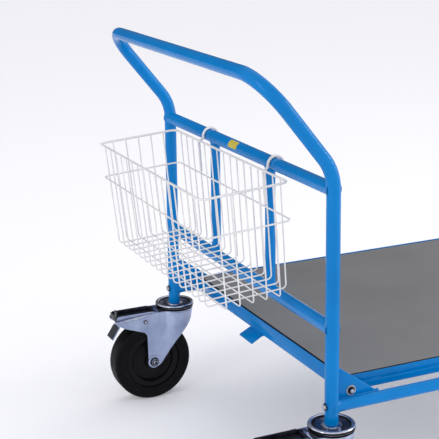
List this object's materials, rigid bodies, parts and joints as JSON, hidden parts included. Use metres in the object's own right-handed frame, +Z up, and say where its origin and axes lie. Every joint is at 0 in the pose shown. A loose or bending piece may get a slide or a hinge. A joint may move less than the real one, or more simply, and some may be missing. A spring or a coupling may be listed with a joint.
{
  "type": "platform trolley with a lift-off wire basket",
  "caption": "Blue tubular platform trolley with a bent push handle, grey deck, swivel castors with brake pedals, fixed rear castors and a white wire basket hooked on a crossbar.",
  "frame": {"origin": "on the floor, below the middle of the trolley", "axes": "+Z up, +Y from the handle end to the far end, +X to the right for someone looking along +Y"},
  "size_m": [0.886, 1.4304, 0.9469],
  "materials": {
    "blue_powder_coat": "bright blue powder coat, semi-gloss",
    "deck_board": "grey phenolic-coated board, matt",
    "zinc_plated_steel": "bright zinc plate with a blue passivation",
    "castor_head": "zinc plate, dished cover",
    "fasteners": "zinc-plated bolts and nuts",
    "dark_steel": "black passivated pressed steel",
    "tyre": "solid black rubber",
    "rim_plastic": "moulded black polypropylene",
    "black_plastic": "moulded black plastic",
    "white_wire_coating": "white plastic-coated wire",
    "label_sticker": "blank yellow sticker"
  },
  "bodies": {
    "frame": {"handle_tube": "blue_powder_coat", "upper_crossbar": "blue_powder_coat", "lower_crossbar": "blue_powder_coat", "strut_left": "blue_powder_coat", "strut_right": "blue_powder_coat", "label_plate": "label_sticker", "cross_tube_front": "blue_powder_coat", "cross_tube_rear": "blue_powder_coat", "deck_rail_left": "blue_powder_coat", "deck_rail_right": "blue_powder_coat", "deck_rail_front": "blue_powder_coat", "deck_rail_rear": "blue_powder_coat", "deck_board": "deck_board", "tab_plate": "blue_powder_coat", "side_tube_left": "blue_powder_coat", "rear_post_left": "blue_powder_coat", "post_cap_left": "black_plastic", "gusset_left": "blue_powder_coat", "gusset_bush_left": "blue_powder_coat", "gusset_bolt_left": "fasteners", "stem_left": "castor_head", "stem_bolt_left": "fasteners", "rear_fork_left": "zinc_plated_steel", "axle_rear_left": "fasteners", "side_tube_right": "blue_powder_coat", "rear_post_right": "blue_powder_coat", "post_cap_right": "black_plastic", "gusset_right": "blue_powder_coat", "gusset_bush_right": "blue_powder_coat", "gusset_bolt_right": "fasteners", "stem_right": "castor_head", "stem_bolt_right": "fasteners", "rear_fork_right": "zinc_plated_steel", "axle_rear_right": "fasteners"},
    "castor_left": {"fork_left": "zinc_plated_steel", "seal_left": "black_plastic", "axle_left": "fasteners"},
    "brake_left": {"brake_lever_left": "dark_steel", "pedal_pad_left": "black_plastic"},
    "wheel_left": {"tyre_left": "tyre", "rim_left": "rim_plastic"},
    "rear_wheel_left": {"tyre_rear_left": "tyre", "rim_rear_left": "rim_plastic"},
    "castor_right": {"fork_right": "zinc_plated_steel", "seal_right": "black_plastic", "axle_right": "fasteners"},
    "brake_right": {"brake_lever_right": "dark_steel", "pedal_pad_right": "black_plastic"},
    "wheel_right": {"tyre_right": "tyre", "rim_right": "rim_plastic"},
    "rear_wheel_right": {"tyre_rear_right": "tyre", "rim_rear_right": "rim_plastic"},
    "basket": {"basket_front": "white_wire_coating", "basket_back": "white_wire_coating", "basket_left": "white_wire_coating", "basket_right": "white_wire_coating", "basket_floor": "white_wire_coating", "basket_rim": "white_wire_coating", "basket_hook_left": "white_wire_coating", "basket_hook_right": "white_wire_coating"}
  },
  "joints": [
    {"name": "swivel_left", "type": "hinge", "parent": "frame", "child": "castor_left", "pos_m": [-0.395, -0.49079, 0.22], "axis": [0, 0, 1], "continuous": true},
    {"name": "wheel_spin_left", "type": "hinge", "parent": "castor_left", "child": "wheel_left", "pos_m": [-0.395, -0.56079, 0.1], "axis": [1, 0, 0], "continuous": true},
    {"name": "brake_pedal_left", "type": "hinge", "parent": "castor_left", "child": "brake_left", "pos_m": [-0.395, -0.54879, 0.222], "axis": [1, 0, 0], "range_deg": [0, 8]},
    {"name": "rear_wheel_spin_left", "type": "hinge", "parent": "frame", "child": "rear_wheel_left", "pos_m": [-0.395, 0.61521, 0.1], "axis": [1, 0, 0], "continuous": true},
    {"name": "swivel_right", "type": "hinge", "parent": "frame", "child": "castor_right", "pos_m": [0.395, -0.49079, 0.22], "axis": [0, 0, 1], "continuous": true},
    {"name": "wheel_spin_right", "type": "hinge", "parent": "castor_right", "child": "wheel_right", "pos_m": [0.395, -0.56079, 0.1], "axis": [1, 0, 0], "continuous": true},
    {"name": "brake_pedal_right", "type": "hinge", "parent": "castor_right", "child": "brake_right", "pos_m": [0.395, -0.54879, 0.222], "axis": [1, 0, 0], "range_deg": [0, 8]},
    {"name": "rear_wheel_spin_right", "type": "hinge", "parent": "frame", "child": "rear_wheel_right", "pos_m": [0.395, 0.61521, 0.1], "axis": [1, 0, 0], "continuous": true},
    {"name": "basket_lift", "type": "slide", "parent": "frame", "child": "basket", "axis": [0, 0, 1], "range_m": [0, 0.04]}
  ]
}
